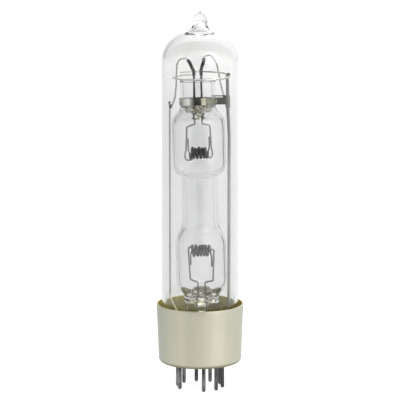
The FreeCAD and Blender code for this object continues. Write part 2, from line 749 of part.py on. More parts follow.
LEFT_SPLICE_BENDS = ((0, 0), (0, 0.24), (0.33, 0.52), (0.72, 0.85), (1, 1))
RIGHT_SPLICE_BENDS = ((0, 0), (0, 0.28), (0.37, 0.55), (0.85, 0.8), (1, 1))
LEFT_JUMPER_BENDS = ((0.27, -0.035), (0.54, 0.0), (0.66, 0.09), (0.69, 0.27), (0.71, 0.54), (0.78, 0.8))
RIGHT_JUMPER_BENDS = ((0.28, -0.085), (0.44, -0.03), (0.65, 0.15), (0.75, 0.4), (0.82, 0.62))


def splice(name, side, prefix, bends):
    points = splice_points(side, prefix, bends)
    wire_part(name, points, length("splice_wire"), SPLICE_BEND, burner_placement())


def jumper(name, splice_route, bends, landing):
    """A thin wire from the end of a splice, over in an arch, and down to its landing."""
    route = [leaned(point) for point in splice_route]
    start = route[-1]
    onward = (route[-1] - route[-2]).normalize() * length("jumper_start")
    span = landing - start
    points = [start, start + onward]
    points += [start + Vector(span.x * across, span.y * across, span.z * down) for across, down in bends]
    points.append(landing)
    wire_part(name, points, length("jumper_wire"), WIDE_BEND)


def left_jumper():
    beside = value(SUPPORT_REACH + " - size.support_wire / 2 - size.weld_gap - size.jumper_wire / 2")
    landing = Vector(-beside, 0, value(SUPPORT_TOP + " - size.support_weld_drop"))
    jumper("left_jumper", splice_points(-1, "left", LEFT_SPLICE_BENDS), LEFT_JUMPER_BENDS, landing)


def right_jumper():
    tab_end = value(ROD_LINE + " - size.rod_diameter / 2 - size.sleeve_wall - size.jumper_wire")
    tab_top = value(BAND_LEVEL + " + size.band_height + size.jumper_wire / 2 + size.weld_gap")
    landing = leaned(Vector(tab_end, 0, tab_top))
    jumper("right_jumper", splice_points(1, "right", RIGHT_SPLICE_BENDS), RIGHT_JUMPER_BENDS, landing)


def lower_jumper(name, side, pin_index):
    """From the outer end of a lower lead, across to the top of its pin."""
    aside = side * value("size.lead_spacing / 2")
    bend = value(f"-{LEAD_END} - size.jumper_room + size.jumper_stand")
    points = (
        leaned(Vector(aside, 0, -value(LEAD_END))),
        leaned(Vector(aside, 0, bend)),
        above_pin(pin_index, length("jumper_stand")),
        above_pin(pin_index, 0),
    )
    wire_part(name, points, length("jumper_wire"), TIGHT_BEND)


def build():
    outer_bulb()
    button_stem()
    for index in range(PIN_COUNT):
        pin(index)
    base_shell()
    base_cement()
    discharge_tube()
    stem("upper_stem", upside_down=False)
    stem("lower_stem", upside_down=True)
    for half, upside_down in (("upper", False), ("lower", True)):
        level = f"{CHAMBER_START} + size.{half}_coil_place"
        coil(half + "_coil", level, upside_down)
        lead(half + "_left_lead", level, -1, upside_down)
        lead(half + "_right_lead", level, 1, upside_down)
    left_support_wire()
    right_support_rod()
    rod_sleeve()
    clamp_band()
    spacer_ring()
    splice("left_splice", -1, "left", LEFT_SPLICE_BENDS)
    splice("right_splice", 1, "right", RIGHT_SPLICE_BENDS)
    left_jumper()
    right_jumper()
    lower_jumper("lower_left_jumper", -1, LOWER_LEFT_PIN)
    lower_jumper("lower_right_jumper", 1, LOWER_RIGHT_PIN)
    doc.recompute()


def check_objects():
    for item in doc.Objects:
        if "Invalid" in item.State or "Error" in item.State:
            raise RuntimeError(f"{item.Name} failed: {item.State}")
    for item in parts:
        if item.Shape.isNull() or not item.Shape.isValid():
            raise RuntimeError(item.Label + " has no valid shape")


build()
check_objects()
os.makedirs("parts", exist_ok=True)
for item in parts:
    item.Shape.exportStep(f"parts/{item.Label}.step")
    box = item.Shape.BoundBox
    print(f"{item.Label:20s} {len(item.Shape.Solids)} solid {item.Shape.Volume:9.3f} mm3",
          f"z {box.ZMin:6.2f} to {box.ZMax:6.2f}")
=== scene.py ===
# %% [markdown]
# # A spectral lamp in Blender
# A spectral lamp is a small gas discharge lamp that laboratories use to calibrate spectrometers.
# A waisted glass burner with two wound electrodes hangs on two wires inside a domed glass bulb.
# The bulb is cemented into a sheet metal shell, and nine pins pass through its glass button.
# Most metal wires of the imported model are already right, so this script only gives them a finish.
# It remakes the glass, the shell, the cement, the pins, the ring and the wound wires with more
# detail, and then lights them.

import math

import bmesh
import bpy
from mathutils import Matrix, Vector, noise


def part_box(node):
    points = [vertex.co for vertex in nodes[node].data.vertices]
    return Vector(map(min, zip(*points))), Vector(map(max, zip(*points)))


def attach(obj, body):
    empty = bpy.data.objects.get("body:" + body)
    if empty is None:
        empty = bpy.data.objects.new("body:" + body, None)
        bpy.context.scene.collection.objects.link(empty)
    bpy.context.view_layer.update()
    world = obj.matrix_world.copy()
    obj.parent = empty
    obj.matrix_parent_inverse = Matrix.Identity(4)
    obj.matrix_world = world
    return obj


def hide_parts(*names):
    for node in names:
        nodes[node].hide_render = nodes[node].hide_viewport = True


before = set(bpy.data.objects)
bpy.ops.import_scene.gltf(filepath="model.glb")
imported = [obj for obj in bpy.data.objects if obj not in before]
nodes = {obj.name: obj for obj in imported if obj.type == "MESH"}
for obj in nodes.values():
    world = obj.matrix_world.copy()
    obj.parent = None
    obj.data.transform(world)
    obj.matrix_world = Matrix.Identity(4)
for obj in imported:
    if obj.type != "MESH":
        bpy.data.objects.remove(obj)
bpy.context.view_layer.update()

# %% [markdown]
# ## Units and places
# Blender works in metres here, but a lamp this small is easier to think about in millimetres.
# One helper turns millimetres into a Blender vector. The burner leans by about one degree, so
# it has a matrix of its own that carries anything drawn upright into its place.

# %% Units and the burner's place
MM = 0.001
BURNER_MIDDLE = 42.0
BURNER_LEAN = math.radians(1.1)


def mm(x, y, z):
    return Vector((x, y, z)) * MM


burner_place = Matrix.Translation(mm(0, 0, BURNER_MIDDLE)) @ Matrix.Rotation(BURNER_LEAN, 4, (0, -1, 0))
print("burner's middle in mm:", burner_place.translation.z / MM)

# %% [markdown]
# ## The camera
# The photograph was taken with a long lens from ten degrees above the horizon.
# A long lens far away keeps the bulb's two edges parallel, as they are in the picture.

# %% Camera
SENSOR = 36.0
LENS = 242.1
CAMERA_DISTANCE = 700.0
CAMERA_RISE = math.radians(10)
LOOK_AT = 42.83

camera_data = bpy.data.cameras.new("camera")
camera_data.sensor_width = SENSOR
camera_data.lens = LENS
camera = bpy.data.objects.new("camera", camera_data)
bpy.context.scene.collection.objects.link(camera)
to_camera = Vector((0, -math.cos(CAMERA_RISE), math.sin(CAMERA_RISE)))
camera.location = mm(0, 0, LOOK_AT) + to_camera * CAMERA_DISTANCE * MM
camera.rotation_mode = "QUATERNION"
camera.rotation_quaternion = (-to_camera).to_track_quat("-Z", "Y")
camera_data.clip_start = 0.05
camera_data.clip_end = 20.0
bpy.context.scene.camera = camera
print("camera at", [round(value, 3) for value in camera.location])

# %% [markdown]
# ## Outlines for turned pieces
# Blown glass and drawn cups are round, so each one is drawn as half an outline and turned.
# An outline is a list of corners. A corner marked "arc" is reached by an arc that leaves the
# last stretch smoothly, which is how a glassblower's shoulder runs into a tube.
# A Screw modifier could turn it too, but own rings leave the poles clean and let single
# rings be pinched later.

# %% Drawing an outline
ARC_STEPS = 14
CORNER_STEPS = 4
CORNER_ROOM = 0.45


def arc_from(start, heading, finish):
    """Points along the arc that leaves start along heading and ends at finish."""
    chord = finish - start
    side = Vector((-heading.y, heading.x))
    if side.dot(chord) < 0:
        side = -side
    radius = chord.dot(chord) / (2 * side.dot(chord))
    centre = start + side * radius
    arm = start - centre
    turned_left = heading.x * side.y - heading.y * side.x > 0
    sweep = 2 * math.asin(min(1, chord.length / (2 * radius)))
    if chord.dot(heading) < 0:
        sweep = 2 * math.pi - sweep
    sweep = sweep if turned_left else -sweep
    points = []
    for step in range(1, ARC_STEPS + 1):
        angle = sweep * step / ARC_STEPS
        turn = Matrix.Rotation(angle, 2)
        points.append(centre + turn @ arm)
    last = Matrix.Rotation(sweep, 2) @ heading
    return points, last


def outline(corners):
    """The whole outline of (radius, height) corners as points."""
    points = [Vector(corners[0][:2])]
    heading = None
    for corner in corners[1:]:
        goal = Vector(corner[:2])
        if "arc" in corner[2:]:
            along, heading = arc_from(points[-1], heading, goal)
            points += along
        else:
            heading = (goal - points[-1]).normalized()
            points.append(goal)
    return points


def softened(points, radius, sharpest=math.radians(25)):
    """The same outline with every sharp corner rounded by about the given radius."""
    soft = [points[0]]
    for before, corner, after in zip(points, points[1:], points[2:]):
        arriving = corner - before
        leaving = after - corner
        if arriving.angle(leaving, 0) < sharpest:
            soft.append(corner)
            continue
        room = min(radius, arriving.length * CORNER_ROOM, leaving.length * CORNER_ROOM)
        first = corner - arriving.normalized() * room
        last = corner + leaving.normalized() * room
        for step in range(CORNER_STEPS + 1):
            share = step / CORNER_STEPS
            soft.append(first.lerp(corner, share).lerp(corner.lerp(last, share), share))
    soft.append(points[-1])
    return soft


def spaced(points, longest):
    """The same outline with long straight stretches divided."""
    dense = [points[0]]
    for start, finish in zip(points, points[1:]):
        count = max(1, math.ceil((finish - start).length / longest))
        dense += [start.lerp(finish, step / count) for step in range(1, count + 1)]
    return dense


def evened(points, step, width):
    """The outline in even steps, with its bends eased over about the given width."""
    dense = spaced(points, step)
    reach = round(width / step)
    weights = [math.exp(-2 * (offset / reach) ** 2) for offset in range(-reach, reach + 1)]
    even = []
    for index in range(len(dense)):
        near = min(reach, index, len(dense) - 1 - index)
        window = dense[index - near:index + near + 1]
        shares = weights[reach - near:reach + near + 1]
        total = Vector((0, 0))
        for point, share in zip(window, shares):
            total += point * share
        even.append(total / sum(shares))
    return even


def moved_in(points, wall):
    """The same outline, moved towards the axis by the wall's thickness."""
    ends = [points[0]] + points + [points[-1]]
    inner = []
    for before, point, after in zip(ends, points, ends[2:]):
        along = (after - before).normalized()
        inner.append(point + Vector((-along.y, along.x)) * wall)
    return inner


# %% [markdown]
# ## Turning an outline
# Each point of an outline becomes one ring of vertices. Points on the axis become a single
# vertex, so a dome closes without a hole. A second outline can be turned into the same mesh,
# as the hollow inside the burner is, and a function may push single vertices afterwards.

# %% Turning outlines into a mesh
ROUND = 128


def new_piece(name, mesh):
    piece = bpy.data.objects.new(name, mesh)
    bpy.context.scene.collection.objects.link(piece)
    return piece


def smooth(mesh, sharp_angle=40):
    for face in mesh.polygons:
        face.use_smooth = True
    mesh.set_sharp_from_angle(angle=math.radians(sharp_angle))


def turn_outline(work, points, count, push=None):
    """Add one turned skin to a bmesh and return its faces."""
    rings = []
    for point in points:
        if point.x < 1e-6:
            rings.append([work.verts.new(mm(0, 0, point.y))])
            continue
        ring = []
        for step in range(count):
            angle = 2 * math.pi * step / count
            place = Vector((point.x * math.cos(angle), point.x * math.sin(angle), point.y))
            ring.append(work.verts.new((push(place) if push else place) * MM))
        rings.append(ring)
    faces = []
    for low, high in zip(rings, rings[1:]):
        for step in range(count):
            after = (step + 1) % count
            lower = (low[step % len(low)], low[after % len(low)])
            upper = (high[after % len(high)], high[step % len(high)])
            corners = list(dict.fromkeys(lower + upper))
            if len(corners) > 2:
                faces.append(work.faces.new(corners))
    return faces


def turned(name, skin, hollow=None, count=ROUND, push=None, closed=False, sharp_angle=40):
    """A turned piece from its outer skin, and the skin of a hollow inside it if it has one."""
    work = bmesh.new()
    faces = turn_outline(work, skin + [skin[0]] if closed else skin, count, push)
    bmesh.ops.recalc_face_normals(work, faces=faces)
    if hollow:
        faces = turn_outline(work, hollow, count, push)
        bmesh.ops.recalc_face_normals(work, faces=faces)
        bmesh.ops.reverse_faces(work, faces=faces)
    bmesh.ops.remove_doubles(work, verts=work.verts, dist=1e-8)
    mesh = bpy.data.meshes.new(name)
    work.to_mesh(mesh)
    work.free()
    smooth(mesh, sharp_angle)
    return new_piece(name, mesh)


# %% [markdown]
# ## The outer bulb
# The bulb is one drawn tube: 20 mm across with a 0.8 mm wall, closed by a dome. The little
# nipple on top is where the air was pumped out and the glass was melted shut. Below, a pressed
# disc of glass, the button, is fused into the tube and holds the pins.
# Tube and button are one mesh here, because a seam between two glass meshes would show as
# a dark line when light is refracted. Widths are measured from the axis and levels from the
# shell's foot, both in millimetres.

# %% Outer bulb with its button
BULB = 10.0
BORE = 9.2
BULB_FOOT = 0.65
BUTTON_LOW = 1.0
BUTTON_TOP = 3.6
DOME = 79.0
CROWN = 86.5
CROWN_FLARE = 2.2
NIPPLE = 2.0
NIPPLE_FOOT = 88.6
NIPPLE_MIDDLE = 89.4
TIP_START = 91.75
TIP_MELTED = 92.45
TIP_END = 92.6
PUMP_HOLE = 0.95
PUMP_HOLE_TOP = 89.0
PUMP_HOLE_END = 89.6
LONGEST_STRETCH = 6

bulb_outline = outline((
    (0, BUTTON_LOW),
    (BORE, BUTTON_LOW),
    (BORE, BULB_FOOT),
    (BULB, BULB_FOOT),
    (BULB, DOME),
    (NIPPLE + CROWN_FLARE, CROWN, "arc"),
    (NIPPLE - 0.12, NIPPLE_FOOT, "arc"),
    (NIPPLE, NIPPLE_MIDDLE),
    (0.3, TIP_START, "arc"),
    (0.16, TIP_MELTED),
    (0, TIP_END),
))
bore_outline = outline((
    (0, BUTTON_TOP),
    (BORE, BUTTON_TOP),
    (BORE, DOME),
    (2.6, CROWN - 0.5, "arc"),
    (PUMP_HOLE, CROWN + 1.3),
    (PUMP_HOLE - 0.05, PUMP_HOLE_TOP),
    (0, PUMP_HOLE_END),
))
bulb_skin = spaced(softened(bulb_outline, 0.35), LONGEST_STRETCH)
bulb_bore = spaced(softened(bore_outline, 0.5), LONGEST_STRETCH)
bulb = turned("bulb_glass", bulb_skin, bulb_bore)
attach(bulb, "root")
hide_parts("outer_bulb", "button_stem")
print("bulb vertices:", len(bulb.data.vertices))

# %% [markdown]
# ## The burner
# The burner is the tube where the gas glows: two chambers with a narrow waist between, and
# a neck at each end. Heights are measured from its middle.
# Its bends are eased, because a blown tube has no sudden bend, and a sharp one would act as
# a lens and draw hard rings in the glass.

# %% The burner's outside
NECK = 4.6
WAIST = 4.7
UPPER = 6.95
LOWER = 6.6
WAIST_TOP = 6.4
WAIST_FOOT = 5.1
CHAMBER_START = 10.5
CHAMBER_END = 21.0
NECK_START = 25.5
LOWER_CHAMBER_END = 20.2
LOWER_NECK_START = 24.8
NECK_END = 32.3
BULGE = 0.65
BEND_STEP = 0.3
BEND_WIDTH = 1.8


def blend(first, last, share):
    return first + (last - first) * share


def burner_side():
    """The outside of the burner, from its lower neck to its upper neck."""
    return outline((
        (NECK, -NECK_END),
        (NECK, -LOWER_NECK_START),
        (blend(LOWER, NECK, BULGE), -blend(LOWER_CHAMBER_END, LOWER_NECK_START, BULGE), "arc"),
        (LOWER, -LOWER_CHAMBER_END, "arc"),
        (LOWER, -CHAMBER_START),
        (blend(LOWER, WAIST, BULGE), -blend(CHAMBER_START, WAIST_FOOT, BULGE), "arc"),
        (WAIST, -WAIST_FOOT, "arc"),
        (WAIST, WAIST_TOP),
        (blend(UPPER, WAIST, BULGE), blend(CHAMBER_START, WAIST_TOP, BULGE), "arc"),
        (UPPER, CHAMBER_START, "arc"),
        (UPPER, CHAMBER_END),
        (blend(UPPER, NECK, BULGE), blend(CHAMBER_END, NECK_START, BULGE), "arc"),
        (NECK, NECK_START, "arc"),
        (NECK, NECK_END),
    ))


burner_outside = evened(burner_side(), BEND_STEP, BEND_WIDTH)
print("points of the burner's outside:", len(burner_outside))

# %% [markdown]
# ## The stems
# In each neck sits a stem, a cone of glass that was pinched flat round the two leads while it
# was soft. Tube and stems are fused, so they are one glass mesh: one skin outside, which dips
# into both necks, and one round the gas, which follows the outside at one wall's distance.
# The upper stem has a hollow back, and the lower one runs on as a solid plug that narrows
# downwards round its leads. A side is 1 for the upper half and -1 for the lower one.

# %% The stems' outlines
WALL = 0.9
RIM = 0.9
STEM_TIP = 22.2
STEM_EDGES = {1: 25.6, -1: 24.4}
# Corners of each stem: half width, and distance from the burner's middle.
STEM_BACKS = {
    1: ((0, 23.7), (1.15, 23.7), (2.9, 25.8), (3.4, 26.6), (NECK - WALL, 27.4)),
    -1: ((0, 28.6), (1.3, 28.6), (1.6, 27.5), (2.0, 26.2), (2.5, 25.2), (3.1, 24.9), (NECK - WALL, 25.9)),
}
STEM_FRONTS = {
    1: ((0, STEM_TIP), (1.45, STEM_TIP), (1.6, 23.1), (2.3, 23.5), (3.25, 23.8), (3.55, 24.5)),
    -1: ((0, STEM_TIP), (1.6, STEM_TIP), (2.3, 22.8), (2.8, 23.6), (3.1, 24.2)),
}


def neck_end(side):
    """The dip into a neck: the stem's back, and the neck's end."""
    corners = STEM_BACKS[side] + ((NECK - WALL, NECK_END), (NECK, NECK_END), (NECK, NECK_END - RIM))
    points = [Vector((across, side * along)) for across, along in corners]
    return spaced(softened(points, 0.4), 0.5)


def stem_front(side):
    """The stem's front, from its pinched tip to the neck's wall."""
    corners = STEM_FRONTS[side] + ((NECK - WALL - 0.1, STEM_EDGES[side]),)
    return spaced([Vector((across, side * along)) for across, along in corners], 0.16)


hollow = [point for point in moved_in(burner_outside, WALL) if -STEM_EDGES[-1] < point.y < STEM_EDGES[1]]
tube = [point for point in burner_outside if abs(point.y) < NECK_END - RIM]
skin_outline = neck_end(-1) + tube + neck_end(1)[::-1]
gas_outline = stem_front(-1) + hollow + stem_front(1)[::-1]
print("points of the glass skin and of the gas:", len(skin_outline), len(gas_outline))

# %% [markdown]
# ## The pinch
# The pinch isn't round. It is made by pulling in every vertex that lies in front of or behind
# two slanting planes. The tool leaves ripples across it, and noise roughens them.

# %% Burner glass
PINCH_HALF = 0.65
PINCH_RADIUS = 3.6
PINCH_END = 26
PINCH_EASE = 0.2
RIPPLE = 0.8
RIPPLE_DEPTH = 0.2
BUMP_DEPTH = 0.25


def pinch(place):
    """Flatten the stem's tip, and leave ripples and an uneven melted surface."""
    above = abs(place.z) - STEM_TIP
    radius = math.hypot(place.x, place.y)
    if above < -PINCH_EASE or radius > PINCH_RADIUS or abs(place.z) > PINCH_END:
        return place
    limit = PINCH_HALF + max(above, 0)
    across = max(-limit, min(limit, place.y))
    bump = noise.noise(Vector((place.x, across, place.z)) * 1.6) * BUMP_DEPTH
    wander = noise.noise(Vector((place.x * 0.5, across * 0.5, 3.0))) * 2.5
    ripple = math.sin(2 * math.pi * above / RIPPLE + wander) * RIPPLE_DEPTH
    fade = min(1, max(0, above + PINCH_EASE) / 0.5) * min(1, (PINCH_RADIUS - radius) / 0.4)
    grow = 1 + (bump + ripple) * fade / max(radius, 0.8)
    return Vector((place.x * grow, across * grow, place.z))


burner = turned("burner_glass", skin_outline, gas_outline, push=pinch, sharp_angle=60)
burner.matrix_world = burner_place
bpy.context.view_layer.update()
burner.data.transform(burner.matrix_world)
burner.matrix_world = Matrix.Identity(4)
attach(burner, "root")
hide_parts("discharge_tube", "upper_stem", "lower_stem")
print("burner vertices:", len(burner.data.vertices))

# %% [markdown]
# ## The base shell
# The shell is a cup drawn from thin sheet, a little wider at its rim, with its floor turned
# inwards round a large hole. Its edges are rounded by the drawing, and handling has left it
# very slightly out of round, which soft waves in the vertices imitate.

# %% Base shell
SHELL_FOOT = 10.825
SHELL_RIM = 11.425
SHELL_TOP = 15.5
SHEET = 0.35
FLOOR_HOLE = 8.4
FOOT_ROUND = 1.0
DENT = 0.004

shell_outline = outline((
    (FLOOR_HOLE, 0.0),
    (SHELL_FOOT - FOOT_ROUND, 0.0),
    (SHELL_FOOT, FOOT_ROUND, "arc"),
    (SHELL_RIM, SHELL_TOP),
    (SHELL_RIM - SHEET, SHELL_TOP),
    (SHELL_FOOT - SHEET, FOOT_ROUND),
    (SHELL_FOOT - FOOT_ROUND, SHEET, "arc"),
    (FLOOR_HOLE, SHEET),
))


def handled(place):
    """Out of round by a few hundredths of a millimetre."""
    wave = noise.noise(Vector((place.x, place.y, place.z * 0.6)) * 0.22) - 0.25
    squeeze = 1 + DENT * min(0, wave)
    return Vector((place.x * squeeze, place.y * squeeze, place.z))


shell_skin = spaced(softened(shell_outline, 0.12), 1.2)
shell = turned("base_shell_sheet", shell_skin, count=192, push=handled, closed=True, sharp_angle=50)
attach(shell, "root")
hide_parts("base_shell")
print("shell vertices:", len(shell.data.vertices))

# %% [markdown]
# ## The cement
# The bulb is held in the shell by a ring of grey cement. It was poured, so its top creeps up
# the glass and the sheet, and it is grainy. Noise on a dense ring is enough for that.

# %% Cement ring
CEMENT_INSIDE = 9.97
CEMENT_LOW = 1.0
CEMENT_TOP = 4.4


def poured(place):
    """Grainy near the top, where nothing pressed the cement flat."""
    grain = noise.noise(place * 2.2) * 0.12 + noise.noise(place * 7) * 0.04
    lift = min(0, grain) if place.z > CEMENT_TOP - 0.6 else 0
    return Vector((place.x, place.y, place.z + lift))


cement_outline = [Vector(corner) for corner in (
    (CEMENT_INSIDE, CEMENT_LOW),
    (10.46, CEMENT_LOW),
    (10.6, CEMENT_TOP),
    (10.45, CEMENT_TOP - 0.2),
    (10.3, CEMENT_TOP - 0.28),
    (10.12, CEMENT_TOP - 0.2),
    (CEMENT_INSIDE, CEMENT_TOP),
)]
cement = turned("cement_ring", spaced(cement_outline, 0.4), count=256, push=poured, closed=True)
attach(cement, "root")
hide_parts("base_cement")
print("cement vertices:", len(cement.data.vertices))

# %% [markdown]
# ## The pins
# Nine pins stand on a circle, 36 degrees apart, with the tenth place left out as a key.
# Each is a stiff wire with a rounded end, and a thinner stretch of it is sealed in the glass.
# They are all turned from one outline, each as a mesh of its own, moved to its place.

# %% Contact pins
PIN_CIRCLE = 11.89 / 2
PIN = 0.508
PIN_END = -7.1
PIN_FIRST = 9.3
PIN_STEP = 36.0
PIN_COUNT = 9
SEALED_PIN = 0.3
SEAL_LEVEL = 1.06
STUB_TOP = 5.5

pin_outline = outline((
    (0, PIN_END),
    (0.16, PIN_END + 0.02),
    (0.34, PIN_END + 0.12),
    (0.46, PIN_END + 0.34),
    (PIN, PIN_END + 0.68),
    (PIN, SEAL_LEVEL),
    (SEALED_PIN, SEAL_LEVEL),
    (SEALED_PIN, STUB_TOP),
    (0, STUB_TOP),
))
pins = []
for index in range(PIN_COUNT):
    angle = math.radians(PIN_FIRST + index * PIN_STEP)
    pin = turned(f"contact_pin_{index + 1}", softened(pin_outline, 0.1), count=40)
    place = mm(PIN_CIRCLE * math.sin(angle), -PIN_CIRCLE * math.cos(angle), 0)
    pin.data.transform(Matrix.Translation(place))
    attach(pin, "root")
    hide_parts(f"pin_{index + 1}")
    pins.append(pin)
print("pins:", len(pins))

# %% [markdown]
# ## Wires from curves
# The electrodes and splices are wound by hand, so no two turns are alike. A curve with
# a round bevel is the quickest way to a wire: give it points, and Blender keeps it round.
# The curve is turned into a mesh at the end, so it exports like everything else.

# %% Making a wire
def wire(name, runs, sides=3):
    """A mesh of round wires. Each run is its points and its radius, in millimetres."""
    curve = bpy.data.curves.new(name, "CURVE")
    curve.dimensions = "3D"
    curve.bevel_depth = MM
    curve.bevel_resolution = sides
    curve.use_fill_caps = True
    for run, radius in runs:
        spline = curve.splines.new("POLY")
        spline.points.add(len(run) - 1)
        for point, place in zip(spline.points, run):
            point.co = (*(place * MM), 1)
            point.radius = radius
    holder = bpy.data.objects.new(name, curve)
    bpy.context.scene.collection.objects.link(holder)
    bpy.context.view_layer.update()
    mesh = bpy.data.meshes.new_from_object(holder.evaluated_get(bpy.context.evaluated_depsgraph_get()))
    bpy.data.objects.remove(holder)
    bpy.data.curves.remove(curve)
    mesh.name = name
    smooth(mesh, 60)
    return new_piece(name, mesh)


def wound(path, radius, pitch, steps=9, phase=0.0):
    """A thin wire wound round a path of close points, at the given radius and pitch."""
    places = []
    side = Vector((0, 0, 1))
    travelled = 0.0
    for here, ahead in zip(path, path[1:]):
        along = ahead - here
        direction = along.normalized()
        side = (side - direction * side.dot(direction)).normalized()
        other = direction.cross(side)
        count = max(1, round(along.length / pitch * steps))
        for step in range(count):
            share = step / count
            angle = phase + 2 * math.pi * (travelled + along.length * share) / pitch
            outwards = side * math.cos(angle) + other * math.sin(angle)
            places.append(here + along * share + outwards * radius)
        travelled += along.length
    return places


# %% [markdown]
# ## The electrodes
# Each electrode is a tungsten wire, wrapped in a finer wire that holds the emitting paste,
# and then coiled across the burner. Its two tails are bent outwards and run along the leads
# that carry it.
# The turns lean and breathe a little, which seeded noise gives the same way each time.
# For each electrode the table holds its level from the burner's middle, which way up it is,
# and the seed of its noise.

# %% Electrode windings
COIL = 1.225
COIL_PITCH = 0.85
COIL_TURNS = 5.5
COIL_TAIL = 4.0
TAIL_STEPS = 12
TAIL_OUT = 0.4
TAIL_BEND = 1.2
CORE = 0.17
TURN_WRAP = 0.09
TAIL_WRAP = 0.04
WRAP_PITCH = 0.2
WRAP_STEPS = 8
COIL_STEPS = 36
ELECTRODES = {"upper": (13.3, 1, 3.1), "lower": (12.5, -1, 8.7)}


def coil_path(seed):
    """Middle lines of a tail, a coil along X and the other tail. Both tails point to +Z."""
    reach = COIL_PITCH * COIL_TURNS
    path = []
    count = int(COIL_TURNS * COIL_STEPS)
    for step in range(count + 1):
        turn = step / COIL_STEPS
        angle = 2 * math.pi * turn
        ends = min(1, min(step, count - step) / (COIL_STEPS / 3))
        shift = noise.noise(Vector((turn * 1.1, seed, 0))) * 0.3 * ends
        radius = COIL + noise.noise(Vector((turn * 0.9, seed, 5))) * 0.26 * ends
        across = turn * COIL_PITCH - reach / 2 + shift
        path.append(Vector((across, -radius * math.cos(angle), -radius * math.sin(angle))))
    rises = [COIL_TAIL * step / TAIL_STEPS for step in range(TAIL_STEPS + 1)]
    tail = [Vector((TAIL_OUT * min(1, rise / TAIL_BEND), 0, rise)) for rise in rises]
    first = [path[0] + Vector((-place.x, 0, place.z)) for place in reversed(tail)]
    last = [path[-1] + place for place in tail]
    return first, path, last


electrodes = []
for half, (level, side, seed) in ELECTRODES.items():
    flip = Matrix.Rotation(math.pi if side < 0 else 0, 4, "X")
    place = burner_place @ flip @ Matrix.Translation(mm(0, 0, level))
    first_tail, turns, last_tail = coil_path(seed)
    runs = [(first_tail[:-1] + turns + last_tail[1:], CORE)]
    runs.append((wound(turns, CORE + TURN_WRAP, WRAP_PITCH, WRAP_STEPS), TURN_WRAP))
    for tail in (first_tail, last_tail):
        runs.append((wound(tail, CORE + TAIL_WRAP, WRAP_PITCH, WRAP_STEPS), TAIL_WRAP))
    core = wire(f"{half}_electrode", runs, 2)
    core.data.transform(place)
    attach(core, "root")
    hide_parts(f"{half}_coil")
    electrodes.append(core)
    print(core.name, "vertices:", len(core.data.vertices))

# %% [markdown]
# ## The splices
# Above the upper stem each lead is spliced to the thin wire that carries its current away.
# Three strands wound round one line give that look. For each splice the table holds its side,
# its reach outwards, its rise, and its bends as shares of both.

# %% Twisted splices
LEAD_END = 33.6
LEAD_ASIDE = 0.95
SPLICES = {
    "left_splice": (-1, 1.5, 3.95, ((0, 0), (0, 0.24), (0.33, 0.52), (0.72, 0.85), (1, 1))),
    "right_splice": (1, 0.81, 4.35, ((0, 0), (0, 0.28), (0.37, 0.55), (0.85, 0.8), (1, 1))),
}
STRAND = 0.26
STRAND_COUNT = 3
STRAND_STEPS = 14
LAY = 0.2
LAY_LENGTH = 1.4


def eased(points, steps=10):
    """A smooth line through a few points, as close small steps."""
    ends = [points[0] * 2 - points[1]] + list(points) + [points[-1] * 2 - points[-2]]
    line = []
    for before, start, finish, after in zip(ends, ends[1:], ends[2:], ends[3:]):
        slope = finish - before
        bend = 2 * before - 5 * start + 4 * finish - after
        twist = 3 * start - before - 3 * finish + after
        for step in range(steps):
            share = step / steps
            line.append(0.5 * ((2 * start) + slope * share + bend * share * share + twist * share ** 3))
    line.append(points[-1])
    return line


def splice_route(side, reach, rise, bends):
    """The middle line of a splice, from its lead's end to its jumper."""
    corners = []
    for across, along in bends:
        corners.append(Vector((side * (LEAD_ASIDE + reach * across), 0, LEAD_END + rise * along)))
    return eased(corners)


splices = []
for name, values in SPLICES.items():
    route = splice_route(*values)
    strands = []
    for strand in range(STRAND_COUNT):
        phase = strand * 2 * math.pi / STRAND_COUNT
        strands.append((wound(route, LAY, LAY_LENGTH, STRAND_STEPS, phase), STRAND))
    splice = wire(name + "_twist", strands)
    splice.data.transform(burner_place)
    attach(splice, "root")
    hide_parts(name)
    splices.append(splice)
print("splices:", len(splices))

# %% [markdown]
# ## Seal wires
# Glass can't be sealed to plain nickel, so the stretch of each upper lead that passes through
# the stem is a thicker wire with a copper skin, which the flame leaves dark and a little red.
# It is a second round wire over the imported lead, with the slight waves of a hand-drawn one.

# %% Seal wires
SEAL_WIRE = 0.29
SEAL_WIRE_WAVE = 0.05
SEAL_WIRE_START = 24.6
SEAL_WIRE_STEPS = 20

seal_wires = []
for name, side in (("upper_left_seal_wire", -1), ("upper_right_seal_wire", 1)):
    run = []
    for step in range(SEAL_WIRE_STEPS + 1):
        height = blend(SEAL_WIRE_START, LEAD_END, step / SEAL_WIRE_STEPS)
        wave = noise.noise(Vector((height * 0.4, side * 4.0, 0))) * SEAL_WIRE_WAVE
        run.append(Vector((side * LEAD_ASIDE + wave, 0, height)))
    piece = wire(name, [(run, SEAL_WIRE)])
    piece.data.transform(burner_place)
    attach(piece, "root")
    seal_wires.append(piece)
print("seal wires:", len(seal_wires))

# %% [markdown]
# ## The spacer ring
# A springy wire, wound a little more than once, keeps the burner's top away from the bulb. It is
# drawn again as a helix of a slightly thicker wire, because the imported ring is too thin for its
# highlight to show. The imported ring's box gives the helix its place.

# %% Spacer ring
RING_WIRE = 0.25
RING_RADIUS = 7.3
RING_PITCH = 0.85
RING_TURNS = 1.083
RING_START = math.radians(110)
RING_STEPS = 120

